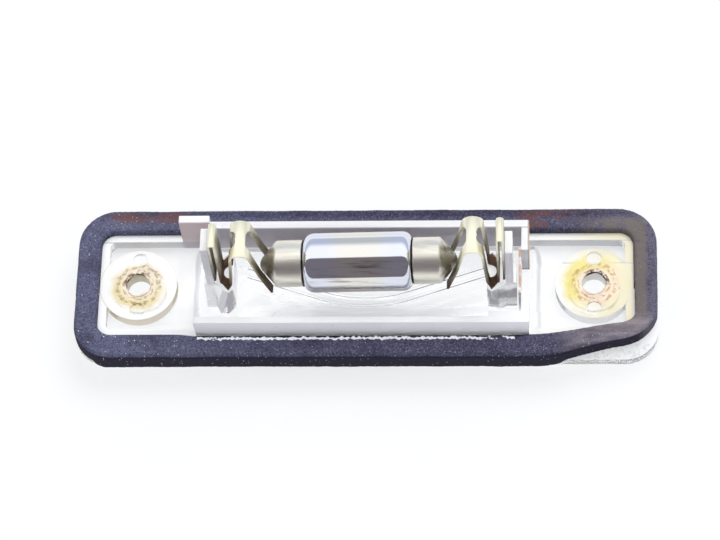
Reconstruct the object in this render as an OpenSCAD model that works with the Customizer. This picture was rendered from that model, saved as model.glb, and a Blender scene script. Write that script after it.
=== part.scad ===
// Number plate lamp insert: one clear moulded lens that carries a foam gasket,
// two spring contact clips and a festoon bulb. It lies on its outer face.
// Millimetres, +Z up, origin under the middle of the lens window.

/* [Flange] */
// Length of the flange
flange_len = 107.2; // [100:0.1:120]
// Width of the flange
flange_w = 28.5; // [27:0.1:34]
// Thickness of the flange and of the tray floor
flange_t = 1.95; // [1.4:0.05:2.6]
// Radius of the flange's corners
flange_r = 6.2; // [4:0.1:9]

/* [Window] */
// How far the optical window stands out of the outer face
window_drop = 2; // [1:0.1:4]
// Length of the window
window_len = 64; // [56:0.5:70]
// Width of the window
window_w = 21; // [18:0.5:24]
// Radius of the window's corners
window_r = 3.5; // [2:0.1:6]
// Bevel round the window's outer edge
window_bevel = 0.8; // [0.3:0.1:1]

/* [Tray lip] */
// Width of the gasket seat along the two ends
seat_end_w = 4.5; // [3:0.1:6]
// Width of the gasket seat along the two long sides
seat_side_w = 3.85; // [3:0.05:5]
// Wall thickness of the lip
lip_t = 1.45; // [1:0.05:2]
// Height of the lip above the tray floor
lip_h = 2.4; // [1.5:0.1:4]
// Outer corner radius of the lip
lip_r = 2.6; // [2:0.1:4]

/* [Screw bosses] */
// Distance between the two screw holes
screw_spacing = 83.8; // [80:0.1:86]
// Diameter of the screw holes
screw_d = 4.4; // [3.5:0.1:5]
// Diameter of the round bosses
boss_d = 14.2; // [12:0.1:16]
// Height of the bosses above the tray floor
boss_h = 2.5; // [1.5:0.1:4]
// Diameter of the screw head's recess in the outer face
recess_d = 9.4; // [8:0.1:10]
// Depth of the screw head's recess
recess_depth = 1.6; // [0.8:0.1:2]
// Diameter of the shallow ejector marks on the bosses
mark_d = 2.8; // [1.5:0.1:3]
// Depth of the ejector marks
mark_depth = 0.35; // [0.1:0.05:0.6]
// Distance of the ejector marks from the screw hole
mark_offset = 5.1; // [4.5:0.1:5.5]

/* [Chamber walls] */
// Height of the long walls above the tray floor
wall_h = 7.75; // [5:0.05:10]
// Thickness of the back wall
back_wall_t = 1.5; // [1:0.05:2]
// Thickness of the front wall
front_wall_t = 1.25; // [1:0.05:2]
// Reach of the walls to the left of the middle
wall_left = 30.7; // [29:0.1:33]
// Reach of the walls to the right of the middle
wall_right = 30.1; // [29:0.1:33]
// Length of the tall tab at the left end of the back wall
tab_len = 5.6; // [3:0.1:8]
// Height of the tall tab above the tray floor
tab_h = 10.1; // [8:0.1:14]
// Where the tall tab ends, to the left of the middle
tab_right = 28.5; // [27:0.1:30]
// Thickness of the right side wall
side_wall_t = 1.4; // [1:0.05:2]
// Where the side wall's back stretch ends, behind the middle
side_back_y = 4.2; // [3:0.1:6]
// Where the side wall's front stretch ends, in front of the middle
side_front_y = 4.1; // [3:0.1:6]
// Thickness of the thin web between the two stretches
web_t = 0.5; // [0.4:0.05:1]
// Length of the pad inside the front wall
pad_len = 5.9; // [3:0.1:8]
// Thickness of that pad
pad_t = 1; // [0.5:0.1:2]

/* [Optic ribs] */
// Distance between the two curved ribs on the floor
rib_gap = 1.8; // [1:0.1:3]
// Width of each rib
rib_w = 0.5; // [0.3:0.05:1]
// Height of each rib
rib_h = 0.3; // [0.2:0.05:0.8]
// Half length of the flat middle of the curve
rib_mid = 8; // [5:0.5:11]
// Slope of the curve's straight ends, in degrees
rib_slope = 19; // [10:1:30]
// Distance of the ribs' ends from the middle
rib_end = 22; // [15:0.5:23]
// Distance of the first rib in front of the middle
rib_y = 1.4; // [0.5:0.1:3]

/* [Clip holders] */
// Middle of the bulb and its holders, along the length
holder_x = -0.65; // [-1:0.05:1]
// Distance from the bulb's tip to the inner face of its post
post_reach = 8.6; // [7.5:0.1:10]
// Thickness of a post
post_t = 1.35; // [1:0.05:2]
// Width of a post
post_w = 4.5; // [3.5:0.1:6]
// Height of the left post above the tray floor
post_h_left = 20.4; // [15:0.1:24]
// Height of the right post above the tray floor
post_h_right = 18.9; // [15:0.1:24]
// Thickness of a post's stout foot
post_foot_t = 1.9; // [1.5:0.05:3]
// Width of a post's foot at the tray floor
post_foot_w = 6.8; // [5:0.1:8]
// Border of the pedestal round the clip's trough
pedestal_border = 0.4; // [0.2:0.05:0.6]
// Width of the left pedestal at the tray floor
pedestal_foot_left = 10; // [7:0.1:12]
// Width of the right pedestal at the tray floor
pedestal_foot_right = 7.4; // [7:0.1:12]
// Distance of the pedestal's foot corners from the post
pedestal_foot_u = 0.75; // [0.3:0.05:1.5]
// Length of the pedestal's foot between its corners
pedestal_foot_len = 0.95; // [0.5:0.05:1.5]

/* [Contact clips] */
// Thickness of the spring strip
strip_t = 0.4; // [0.3:0.02:0.45]
// Width of the strip at the arch and the trough
strip_w = 7.25; // [6.8:0.05:8]
// Width of the strip at the hairpin
hairpin_w = 4.7; // [4:0.1:5.5]
// Height of the left hairpin's top above the flange's outer face
hairpin_top_left = 24.2; // [22:0.1:27]
// Height of the right hairpin's top above the flange's outer face
hairpin_top_right = 25.9; // [22:0.1:27]
// Height of the left arch above the flange's outer face
arch_top_left = 22.8; // [21:0.1:25]
// Height of the right arch above the flange's outer face
arch_top_right = 24; // [21:0.1:25]
// Height of the trough's underside above the flange's outer face
trough_z = 9.3; // [8:0.1:10]
// Height of the outer leg's foot above the flange's outer face
leg_foot_z = 10.7; // [10:0.1:13]
// Bend radius of the hairpin, at the strip's middle
hairpin_r = 0.5; // [0.35:0.05:0.8]
// Bend radius of the trough, at the strip's middle
trough_r = 0.6; // [0.4:0.05:0.8]
// Bend radius of the arch, at the strip's middle
arch_r = 1.75; // [1.2:0.05:2]
// Distance along the bulb between the trough's two walls
trough_step = 1.85; // [1.65:0.05:2]
// Distance along the bulb from the inner leg to the trough's ears
ear_step = 1.3; // [1:0.05:1.5]
// Width of the strip at the foot of the wall between trough and arch
neck_w = 5.7; // [5:0.1:6.5]
// Height of that foot above the trough's underside
neck_foot = 0.8; // [0.7:0.1:1.2]
// Height above the trough's underside at which the wall has its full width
neck_top = 2.8; // [2:0.1:4]
// Distance along the bulb from the arch's inner side to the fork's knee
knee_step = 1.35; // [0.8:0.05:1.8]
// Distance along the bulb from the fork's knee to its tip
tip_step = 1.75; // [1:0.05:2]
// Distance of the fork's knee from the bulb's tip, towards the middle
knee_inset = 0.2; // [0:0.05:0.4]
// Drop from the arch's centre to the fork's knee
knee_drop = 6.3; // [5:0.1:7]
// Drop from the fork's knee to its tip
tip_drop = 6.2; // [5:0.1:7]
// Height above the trough's underside at which the wall's slot narrows
wall_slot_foot = 2.2; // [1.5:0.1:4]
// Half width of the solid strip left over the arch, between the two slots
slot_margin = 1.1; // [0.6:0.1:1.4]
// Width of the fork's slot, round the bulb's end
fork_slot_w = 4.2; // [4:0.05:4.6]
// Width of the slot in the wall between trough and arch
wall_slot_w = 3.5; // [3:0.1:4]
// Width of the slot through the trough
trough_slot_w = 2.7; // [2:0.1:2.9]
// Corner radius of the slots' ends
slot_r = 1.2; // [0.5:0.1:1.4]
// Clearance between a clip and its holder
clip_gap = 0.1; // [0.05:0.05:0.3]

/* [Bulb] */
// Overall length of the bulb
bulb_len = 36; // [35:0.1:36.4]
// Height of the bulb's axis above the flange's outer face
bulb_z = 13.35; // [12.8:0.05:14]
// Tilt of the bulb in its clips, in degrees
bulb_tilt = 2.3; // [0:0.1:2.8]
// Diameter of the glass
glass_d = 10.8; // [10:0.1:11]
// Length of the glass between the caps
glass_len = 20; // [18:0.1:20.4]
// Wall thickness of the glass
glass_t = 0.55; // [0.4:0.05:0.8]
// Radius of the glass's shoulders
glass_r = 1.9; // [1.2:0.1:2]
// Diameter of the glass's necks, inside the caps
neck_d = 6.8; // [5:0.1:7]
// Length of each neck
neck_len = 3; // [2:0.1:4]
// Diameter of the metal caps
cap_d = 8.5; // [8:0.1:8.8]
// Wall thickness of the caps
cap_t = 0.3; // [0.2:0.02:0.4]
// Length of each cap's cone
cone_len = 2.7; // [2.4:0.1:2.9]
// Diameter of each cone's small end
cone_end_d = 2.3; // [2:0.1:2.6]
// Height of the solder dome on each cap
solder_h = 0.35; // [0.2:0.05:0.4]
// Diameter of the lead wires
lead_d = 0.4; // [0.3:0.02:0.5]
// Mean diameter of the coiled filament
coil_d = 0.72; // [0.66:0.02:1]
// Diameter of the filament's wire
coil_wire_d = 0.16; // [0.12:0.01:0.18]
// Length of the coiled filament
coil_len = 12; // [9:0.5:13]
// Length of coil wrapped round the end of each lead
coil_wrap = 0.8; // [0.5:0.1:1.5]
// Turns of the filament
coil_turns = 24; // [12:1:30]
// Gap between the glass's shoulder and the cap's rim
rim_gap = 0.1; // [0.05:0.05:0.3]
// Depth of the cement below the cap's rim
cement_inset = 0.3; // [0.2:0.05:0.6]
// Length of the cement ring
cement_len = 2.4; // [1:0.1:2.6]
// Flat left round the solder dome
solder_margin = 0.1; // [0.05:0.05:0.3]
// Clearance between nested parts of the bulb
bulb_fit = 0.03; // [0.02:0.01:0.05]

/* [Gasket] */
// Height of the foam gasket
gasket_h = 3.85; // [3:0.05:5]
// How far the gasket hangs over the flange's two long sides
gasket_over = 1.1; // [0:0.1:1.5]
// Radius of the gasket's outer corners
gasket_r = 7.2; // [6:0.1:8]
// Bevel along the gasket's outer edge, as a share of its width
gasket_bevel = 0.14; // [0.05:0.01:0.3]
// Height at which the bevel begins, as a share of the gasket's height
bevel_foot = 0.75; // [0.6:0.01:0.85]
// Place of the crease along the gasket's top, as a share of its width
crease_at = 0.42; // [0.38:0.01:0.6]
// Half width of the crease, as a share of the gasket's width
crease_half = 0.06; // [0.03:0.01:0.08]
// Depth of the crease
crease_depth = 0.25; // [0:0.05:0.5]
// Bevel along the gasket's inner edge, as a share of its width and height
inner_bevel = 0.08; // [0.05:0.01:0.15]
// Clearance between the gasket and the lip
gasket_gap = 0.1; // [0.05:0.05:0.2]
// How far the front right corner has slipped backwards
slip_y = 3.6; // [0:0.1:4]
// How much less the inner edge has slipped, as a share
slip_squeeze = 0.28; // [0:0.01:0.4]
// Stretch of the front side that has slipped
slip_front_len = 22.6; // [18:0.1:26]
// Stretch of the right end that has slipped
slip_end_len = 14; // [10:0.5:20]

/* [Hidden] */
$fn = 64;
eps = 0.01;

// Levels
flange_z = window_drop;
floor_z = flange_z + flange_t;
wall_z = floor_z + wall_h;

// Tray
lip_half_l = flange_len / 2 - seat_end_w;
lip_half_w = flange_w / 2 - seat_side_w;
boss_x = screw_spacing / 2;

// Clip, measured from the outer leg towards the bulb
post_half = bulb_len / 2 + post_reach;
leg_from_post = clip_gap + strip_t / 2;
inner_leg_u = 2 * hairpin_r;
ear_u = inner_leg_u + ear_step;
trough_end_u = inner_leg_u + trough_step;
knee_u = post_reach + knee_inset - leg_from_post;
arch_u = knee_u - knee_step - arch_r;
tip_u = knee_u + tip_step;
clip_top = max(hairpin_top_left, hairpin_top_right, arch_top_left, arch_top_right) + 1;
pedestal_z = flange_z + trough_z - clip_gap;

// Gasket
gasket_half_l = flange_len / 2;
gasket_half_w = flange_w / 2 + gasket_over;
// The slip is whole within this share of its stretches
slip_share = 0.2;
// Room between the gasket's corners and the points beside them
loop_margin = 0.3;

// Bulb, measured from its middle
glass_half = glass_len / 2;
cap_start = glass_half + rim_gap;
cone_start = bulb_len / 2 - solder_h - cone_len;
cone_end = cone_start + cone_len;
lead_inner = coil_len / 2 - coil_wrap;

// Plain shapes

module rounded_plate(half_l, half_w, r) {
    hull_l = half_l - r;
    hull_w = half_w - r;
    square([2 * half_l, 2 * hull_w], center = true);
    square([2 * hull_l, 2 * half_w], center = true);
    for (x = [-1, 1])
        for (y = [-1, 1])
            translate([x * hull_l, y * hull_w])
                circle(r);
}

module block(x0, x1, y0, y1, z0, z1) {
    translate([x0, y0, z0])
        cube([x1 - x0, y1 - y0, z1 - z0]);
}

function arc(cx, cy, r, a0, a1, n) =
    [for (i = [0:n]) let (a = a0 + (a1 - a0) * i / n) [cx + r * cos(a), cy + r * sin(a)]];

function unit(v) = v / norm(v);

// Mitred normal of a path at one of its points
function path_normal(p, i) =
    let (
        a = unit(p[min(i + 1, len(p) - 1)] - p[min(i, len(p) - 2)]),
        b = unit(p[max(i, 1)] - p[max(i - 1, 0)]),
        m = unit(a + b)
    )
    [-m[1], m[0]] / (m * a);

function band(p, t) = concat(
    [for (i = [0:len(p) - 1]) p[i] + path_normal(p, i) * t / 2],
    [for (i = [len(p) - 1:-1:0]) p[i] - path_normal(p, i) * t / 2]
);

// Lens

module window_block() {
    hull() {
        translate([0, 0, window_bevel])
            linear_extrude(flange_z - window_bevel + eps)
                rounded_plate(window_len / 2, window_w / 2, window_r);
        linear_extrude(window_bevel)
            rounded_plate(
                window_len / 2 - window_bevel,
                window_w / 2 - window_bevel,
                window_r - window_bevel
            );
    }
}

module lip_outline() {
    rounded_plate(lip_half_l, lip_half_w, lip_r);
}

module lip() {
    translate([0, 0, floor_z - eps])
        linear_extrude(lip_h + eps)
            difference() {
                lip_outline();
                rounded_plate(lip_half_l - lip_t, lip_half_w - lip_t, lip_r - lip_t);
            }
}

module bosses() {
    translate([0, 0, floor_z - eps])
        linear_extrude(boss_h + eps)
            intersection() {
                lip_outline();
                for (x = [-boss_x, boss_x])
                    translate([x, 0])
                        circle(d = boss_d);
            }
}

module boss_cuts() {
    for (x = [-boss_x, boss_x])
        translate([x, 0, 0]) {
            translate([0, 0, flange_z - 1])
                cylinder(d = screw_d, h = flange_t + boss_h + 2);
            translate([0, 0, flange_z - 1])
                cylinder(d = recess_d, h = recess_depth + 1);
            for (y = [-mark_offset, mark_offset])
                translate([0, y, floor_z + boss_h - mark_depth])
                    cylinder(d = mark_d, h = mark_depth + 1);
        }
}

module chamber_walls() {
    low = floor_z - eps;
    back = lip_half_w - back_wall_t;
    front = -lip_half_w + front_wall_t;
    side = wall_right - side_wall_t;
    block(-tab_right - eps, wall_right, back, lip_half_w, low, wall_z);
    block(-tab_right - tab_len, -tab_right, back, lip_half_w, low, floor_z + tab_h);
    block(-wall_left, wall_right, -lip_half_w, front, low, wall_z);
    block(side, wall_right, side_back_y, back + eps, low, wall_z);
    block(side, wall_right, front - eps, -side_front_y, low, wall_z);
    block(side - web_t, side, -side_front_y - web_t, side_back_y + web_t, low, wall_z);
    block(side - web_t, side + eps, side_back_y, side_back_y + web_t, low, wall_z);
    block(side - web_t, side + eps, -side_front_y - web_t, -side_front_y, low, wall_z);
    block(side - pad_len, side + eps, front - eps, front + pad_t, low, wall_z);
}

// The ribs' curve: a flat crown that runs out into two straight ends
function rib_path(y) =
    let (
        r = rib_mid / sin(rib_slope),
        rise = r * (1 - cos(rib_slope)),
        run = rib_end - rib_mid,
        y_end = y + rise + run * tan(rib_slope)
    )
    concat(
        [[-rib_end, y_end]],
        arc(0, y + r, r, 270 - rib_slope, 270 + rib_slope, 16),
        [[rib_end, y_end]]
    );

module optic_ribs() {
    translate([0, 0, floor_z - eps])
        linear_extrude(rib_h + eps)
            for (k = [0, 1])
                polygon(band(rib_path(-rib_y - k * rib_gap), rib_w));
}

function both_sides(p) = concat(p, [for (i = [len(p) - 1:-1:0]) [p[i][0], -p[i][1]]]);

module sheet(z, outline) {
    translate([0, 0, z])
        linear_extrude(eps)
            polygon(both_sides(outline));
}

// One post on its flared pedestal, facing +X from the inner face at the origin
module holder(post_h, foot_w) {
    low = floor_z - flange_t / 2;
    half = post_w / 2;
    end_u = leg_from_post + trough_end_u + strip_t / 2 + clip_gap;
    end_half = neck_w / 2 + pedestal_border;
    block(-post_t, 0, -half, half, low, floor_z + post_h);
    hull() {
        sheet(low, [[-post_foot_t, post_foot_w / 2], [0, post_foot_w / 2]]);
        sheet(pedestal_z - eps, [[-post_foot_t, half], [0, half]]);
    }
    hull() {
        sheet(low, [
            [-eps, post_foot_w / 2],
            [pedestal_foot_u, foot_w / 2],
            [pedestal_foot_u + pedestal_foot_len, foot_w / 2],
            [end_u, end_half]
        ]);
        sheet(pedestal_z - eps, [
            [-eps, half],
            [leg_from_post + ear_u, strip_w / 2 + pedestal_border],
            [end_u, end_half]
        ]);
    }
}

module place_left() {
    translate([holder_x - post_half, 0, 0])
        children();
}

module place_right() {
    translate([holder_x + post_half, 0, 0])
        mirror([1, 0, 0])
            children();
}

module lens() {
    color([0.9, 0.93, 0.95, 0.6])
        difference() {
            union() {
                window_block();
                translate([0, 0, flange_z])
                    linear_extrude(flange_t)
                        rounded_plate(flange_len / 2, flange_w / 2, flange_r);
                lip();
                bosses();
                chamber_walls();
                optic_ribs();
                place_left() holder(post_h_left, pedestal_foot_left);
                place_right() holder(post_h_right, pedestal_foot_right);
            }
            boss_cuts();
        }
}

// Contact clips

// Middle line of the strip: outer leg, hairpin, trough, arch and fork
function clip_path(hairpin_top, arch_top) =
    let (
        half_t = strip_t / 2,
        hairpin_z = hairpin_top - half_t - hairpin_r,
        trough_cz = trough_z + half_t + trough_r,
        arch_z = arch_top - half_t - arch_r,
        knee_z = arch_z - knee_drop,
        tip_z = knee_z - tip_drop
    )
    concat(
        [[0, leg_foot_z]],
        arc(hairpin_r, hairpin_z, hairpin_r, 180, 0, 10),
        arc(inner_leg_u + trough_r, trough_cz, trough_r, 180, 270, 6),
        arc(trough_end_u - trough_r, trough_cz, trough_r, 270, 360, 6),
        arc(arch_u, arch_z, arch_r, 175, 10, 18),
        [[knee_u, knee_z], [tip_u, tip_z]]
    );

// What is cut off one side: beside the two legs, behind the ear and beside the wall's foot
module clip_side_cut() {
    full = strip_w / 2 + eps;
    leg = hairpin_w / 2;
    neck = neck_w / 2;
    wall_u = trough_end_u - strip_t;
    linear_extrude(clip_top)
        polygon([[-1, leg], [inner_leg_u + strip_t / 2, leg], [ear_u, full], [ear_u, strip_w], [-1, strip_w]]);
    linear_extrude(trough_z + neck_foot)
        polygon([[ear_u, full], [trough_end_u, neck], [arch_u, neck], [arch_u, strip_w], [ear_u, strip_w]]);
    translate([wall_u, 0, 0])
        rotate([90, 0, 90])
            linear_extrude(arch_u - wall_u)
                polygon([
                    [neck, trough_z + neck_foot - eps], [full, trough_z + neck_top],
                    [strip_w, trough_z + neck_top], [strip_w, trough_z + neck_foot - eps]
                ]);
}

module clip_slot(u0, u1, w, z0, z1) {
    translate([(u0 + u1) / 2, 0, z0])
        linear_extrude(z1 - z0)
            rounded_plate((u1 - u0) / 2, w / 2, slot_r);
}

module clip_slots() {
    clip_slot(arch_u + slot_margin, tip_u + 2 * slot_r, fork_slot_w, 0, clip_top);
    clip_slot(ear_u, arch_u - slot_margin, wall_slot_w, trough_z + wall_slot_foot, clip_top);
    clip_slot(inner_leg_u + strip_t, arch_u, trough_slot_w, 0, trough_z + wall_slot_foot + eps);
}

// One clip, facing +X from its post's inner face at the origin
module clip(hairpin_top, arch_top) {
    translate([leg_from_post, 0, flange_z])
        difference() {
            translate([0, strip_w / 2, 0])
                rotate([90, 0, 0])
                    linear_extrude(strip_w)
                        polygon(band(clip_path(hairpin_top, arch_top), strip_t));
            for (side = [0, 1])
                mirror([0, side, 0])
                    clip_side_cut();
            clip_slots();
        }
}

module clip_left() {
    color([0.86, 0.82, 0.6])
        place_left()
            clip(hairpin_top_left, arch_top_left);
}

module clip_right() {
    color([0.86, 0.82, 0.6])
        place_right()
            clip(hairpin_top_right, arch_top_right);
}

// Bulb

module at_bulb() {
    translate([holder_x, 0, flange_z + bulb_z])
        rotate([0, 90 - bulb_tilt, 0])
            children();
}

module at_end(side) {
    at_bulb()
        mirror([0, 0, side < 0 ? 1 : 0])
            children();
}

// Half section of the glass, from one neck's end to the other
function glass_side(d, half, r, neck, neck_end) = concat(
    [[0, neck_end], [neck, neck_end], [neck, half]],
    arc(d / 2 - r, half - r, r, 90, 0, 8),
    arc(d / 2 - r, -half + r, r, 0, -90, 8),
    [[neck, -half], [neck, -neck_end], [0, -neck_end]]
);

module bulb_glass() {
    color([0.75, 0.8, 0.88, 0.5])
        at_bulb()
            difference() {
                rotate_extrude()
                    polygon(glass_side(glass_d, glass_half, glass_r, neck_d / 2, glass_half + neck_len));
                rotate_extrude()
                    polygon(glass_side(
                        glass_d - 2 * glass_t, glass_half - glass_t, glass_r - glass_t,
                        neck_d / 2 - glass_t, glass_half + glass_t
                    ));
                translate([0, 0, -bulb_len / 2])
                    cylinder(d = lead_d + 2 * bulb_fit, h = bulb_len);
            }
}

module cap(side) {
    outer = cap_d / 2;
    tip = cone_end_d / 2;
    bore = lead_d / 2 + bulb_fit;
    color([0.85, 0.84, 0.78])
        at_end(side)
            rotate_extrude()
                polygon([
                    [outer, cap_start], [outer, cone_start], [tip, cone_end],
                    [bore, cone_end], [bore, cone_end - cap_t], [tip - cap_t / 2, cone_end - cap_t],
                    [outer - cap_t, cone_start - cap_t / 2], [outer - cap_t, cap_start]
                ]);
}

module cap_left() {
    cap(-1);
}

module cap_right() {
    cap(1);
}

module cement(side) {
    start = cap_start + cement_inset;
    color([0.72, 0.68, 0.58])
        at_end(side)
            translate([0, 0, start])
                difference() {
                    cylinder(d = cap_d - 2 * cap_t - 2 * bulb_fit, h = cement_len);
                    translate([0, 0, -1])
                        cylinder(d = neck_d + 2 * bulb_fit, h = cement_len + 2);
                }
}

module cement_left() {
    cement(-1);
}

module cement_right() {
    cement(1);
}

// A low dome over the end of the lead, on the flat end of the cone
module solder(side) {
    r = cone_end_d / 2 - solder_margin;
    ball = (r * r + solder_h * solder_h) / (2 * solder_h);
    color([0.62, 0.62, 0.64])
        at_end(side)
            translate([0, 0, cone_end])
                intersection() {
                    cylinder(r = r + 1, h = solder_h + 1);
                    translate([0, 0, solder_h - ball])
                        sphere(ball);
                }
}

module solder_left() {
    solder(-1);
}

module solder_right() {
    solder(1);
}

module lead(side) {
    color([0.5, 0.5, 0.52])
        at_end(side)
            translate([0, 0, lead_inner])
                cylinder(d = lead_d, h = cone_end - lead_inner, $fn = 24);
}

module lead_left() {
    lead(-1);
}

module lead_right() {
    lead(1);
}

// Closed tube of a coil along Z
module coil(d, wire_d, length, turns, steps, sides) {
    rings = turns * steps;
    points = [
        for (i = [0:rings], j = [0:sides - 1])
            let (
                a = 360 * i / steps,
                b = 360 * j / sides,
                r = d / 2 + wire_d / 2 * cos(b)
            )
            [r * cos(a), r * sin(a), length * (i / rings - 0.5) + wire_d / 2 * sin(b)]
    ];
    sides_faces = [
        for (i = [0:rings - 1], j = [0:sides - 1])
            let (k = (j + 1) % sides)
            [i * sides + j, i * sides + k, (i + 1) * sides + k, (i + 1) * sides + j]
    ];
    polyhedron(
        points,
        concat(
            sides_faces,
            [[for (j = [sides - 1:-1:0]) j]],
            [[for (j = [0:sides - 1]) rings * sides + j]]
        ),
        convexity = 10
    );
}

module filament() {
    color([0.45, 0.45, 0.48])
        at_bulb()
            coil(coil_d, coil_wire_d, coil_len, coil_turns, 10, 6);
}

// Gasket

function blend(a, b, x) = let (s = max(0, min(1, (x - a) / (b - a)))) s * s * (3 - 2 * s);

function spread(a, b, n) = [for (i = [0:n - 1]) a + (b - a) * i / (n - 1)];

// Points round a rounded rectangle: always as many, whatever its size
function loop_points(half_l, half_w, r) =
    let (
        cx = half_l - r,
        cy = half_w - r,
        corner_x = min(gasket_half_l - gasket_r, lip_half_l - lip_r),
        corner_y = min(gasket_half_w - gasket_r, lip_half_w - lip_r),
        front = spread(gasket_half_l - slip_front_len, corner_x - loop_margin, 14),
        right = spread(loop_margin - corner_y, slip_end_len - gasket_half_w, 10)
    )
    concat(
        [for (x = front) [x, -half_w]],
        arc(cx, -cy, r, 270, 360, 10),
        [for (y = right) [half_l, y]],
        arc(cx, cy, r, 0, 90, 10),
        arc(-cx, cy, r, 90, 180, 10),
        arc(-cx, -cy, r, 180, 270, 10)
    );

// Moves a point of the gasket with its slipped front right corner: the share runs
// from 0 at the outer edge to 1 at the inner edge
function slipped(p, share) =
    let (
        whole_l = slip_share * slip_front_len,
        whole_w = slip_share * slip_end_len,
        u = blend(gasket_half_l - slip_front_len, gasket_half_l - whole_l, p[0]),
        v = blend(gasket_half_w - slip_end_len, gasket_half_w - whole_w, -p[1])
    )
    p + u * v * (1 - slip_squeeze * share) * [0, slip_y];

module gasket_ring() {
    outer = loop_points(gasket_half_l, gasket_half_w, gasket_r);
    inner = loop_points(lip_half_l + gasket_gap, lip_half_w + gasket_gap, lip_r + gasket_gap);
    n = len(outer);
    bevel_mid = (1 + bevel_foot) / 2;
    section = [
        [0, 0], [0, bevel_foot], [gasket_bevel / 3, bevel_mid], [gasket_bevel, 1],
        [crease_at - crease_half, 1], [crease_at, 1 - crease_depth / gasket_h], [crease_at + crease_half, 1],
        [1 - inner_bevel, 1], [1, 1 - inner_bevel], [1, 0]
    ];
    m = len(section);
    points = [
        for (s = section, i = [0:n - 1])
            let (p = slipped(outer[i] * (1 - s[0]) + inner[i] * s[0], s[0]))
            [p[0], p[1], floor_z + s[1] * gasket_h]
    ];
    faces = [
        for (k = [0:m - 1], i = [0:n - 1])
            let (a = (i + 1) % n, q = (k + 1) % m)
            [k * n + i, q * n + i, q * n + a, k * n + a]
    ];
    polyhedron(points, faces, convexity = 6);
}

module gasket() {
    color([0.2, 0.2, 0.26])
        difference() {
            gasket_ring();
            translate([0, 0, floor_z - 1])
                linear_extrude(lip_h + 1 + gasket_gap)
                    rounded_plate(lip_half_l + gasket_gap / 2, lip_half_w + gasket_gap / 2, lip_r + gasket_gap / 2);
        }
}

lens();
gasket();
clip_left();
clip_right();
bulb_glass();
cap_left();
cap_right();
cement_left();
cement_right();
solder_left();
solder_right();
lead_left();
lead_right();
filament();
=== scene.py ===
import math

import bmesh
import bpy
from mathutils import Matrix, Vector, noise


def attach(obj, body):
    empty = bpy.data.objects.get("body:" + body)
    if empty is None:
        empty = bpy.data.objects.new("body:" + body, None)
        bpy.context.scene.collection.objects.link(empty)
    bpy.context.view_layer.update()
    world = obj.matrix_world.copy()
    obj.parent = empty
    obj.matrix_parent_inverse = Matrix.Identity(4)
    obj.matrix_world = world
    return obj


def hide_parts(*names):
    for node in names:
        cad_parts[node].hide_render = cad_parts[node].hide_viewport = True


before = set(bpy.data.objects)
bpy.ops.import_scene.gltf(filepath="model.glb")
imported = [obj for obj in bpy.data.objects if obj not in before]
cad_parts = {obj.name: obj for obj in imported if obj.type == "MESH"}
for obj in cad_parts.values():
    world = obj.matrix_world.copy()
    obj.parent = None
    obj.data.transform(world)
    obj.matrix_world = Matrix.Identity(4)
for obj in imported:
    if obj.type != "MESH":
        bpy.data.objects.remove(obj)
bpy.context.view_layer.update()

mm = 0.001

tray = {
    "floor": 3.95 * mm,
    "wallFront": -10.4 * mm,
    "wallBack": 8.92 * mm,
    "wallTop": 11.7 * mm,
    "tabTop": 14.05 * mm,
    "pedestalTop": 11.2 * mm,
    "lipOuterX": 49.1 * mm,
    "lipOuterY": 10.4 * mm,
    "lipTop": 6.35 * mm,
    "lipRadius": 2.6 * mm,
    "bossX": 41.9 * mm,
    "bossTop": 6.45 * mm,
    "bossRadius": 7.1 * mm,
    "holeRadius": 2.2 * mm,
    "gasketTop": 7.8 * mm,
}
bulb = {"middle": Vector((-0.65, 0, 15.35)) * mm, "tilt": math.radians(2.3)}
bulbPlace = Matrix.Translation(bulb["middle"]) @ Matrix.Rotation(math.pi / 2 - bulb["tilt"], 4, "Y")


# The camera of the photograph

cameraPlace = {
    "target": Vector((-1.3887, 5.2398, 2.0)) * mm,
    "distance": 599.393 * mm,
    "yaw": math.radians(8.4236),
    "elevation": math.radians(62.574),
    "roll": math.radians(-7.7577),
    "lens": 161.44,
    "sensor": 36,
}


def makeCamera():
    yaw, elevation, roll = (cameraPlace[k] for k in ("yaw", "elevation", "roll"))
    back = Vector((math.sin(yaw) * math.cos(elevation), -math.cos(yaw) * math.cos(elevation), math.sin(elevation)))
    right = (-back).cross(Vector((0, 0, 1))).normalized()
    up = right.cross(-back)
    turnedRight = math.cos(roll) * right + math.sin(roll) * up
    turnedUp = -math.sin(roll) * right + math.cos(roll) * up
    bpy.ops.object.camera_add(location=cameraPlace["target"] + back * cameraPlace["distance"])
    camera = bpy.context.object
    camera.name = "photoCamera"
    camera.rotation_euler = Matrix((turnedRight, turnedUp, back)).transposed().to_euler()
    camera.data.sensor_width = cameraPlace["sensor"]
    camera.data.lens = cameraPlace["lens"]
    camera.data.clip_start = 0.01
    camera.data.clip_end = 20
    bpy.context.scene.camera = camera


# Small tools for the pieces

def deselectAll():
    if bpy.context.mode != "OBJECT":
        bpy.ops.object.mode_set(mode="OBJECT")
    bpy.ops.object.select_all(action="DESELECT")


def makeActive(piece):
    deselectAll()
    piece.select_set(True)
    bpy.context.view_layer.objects.active = piece


def startEdit(piece, kind="VERT"):
    makeActive(piece)
    bpy.ops.object.mode_set(mode="EDIT")
    bpy.ops.mesh.select_mode(type=kind)
    bpy.ops.mesh.select_all(action="DESELECT")


def endEdit():
    bpy.ops.object.mode_set(mode="OBJECT")


def addModifier(piece, kind, **settings):
    makeActive(piece)
    modifier = piece.modifiers.new(kind.lower(), kind)
    for key, value in settings.items():
        setattr(modifier, key, value)
    bpy.ops.object.modifier_apply(modifier=modifier.name)


def cloudTexture(name, size):
    texture = bpy.data.textures.new(name, "CLOUDS")
    texture.noise_scale = size
    texture.noise_depth = 2
    return texture


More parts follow.
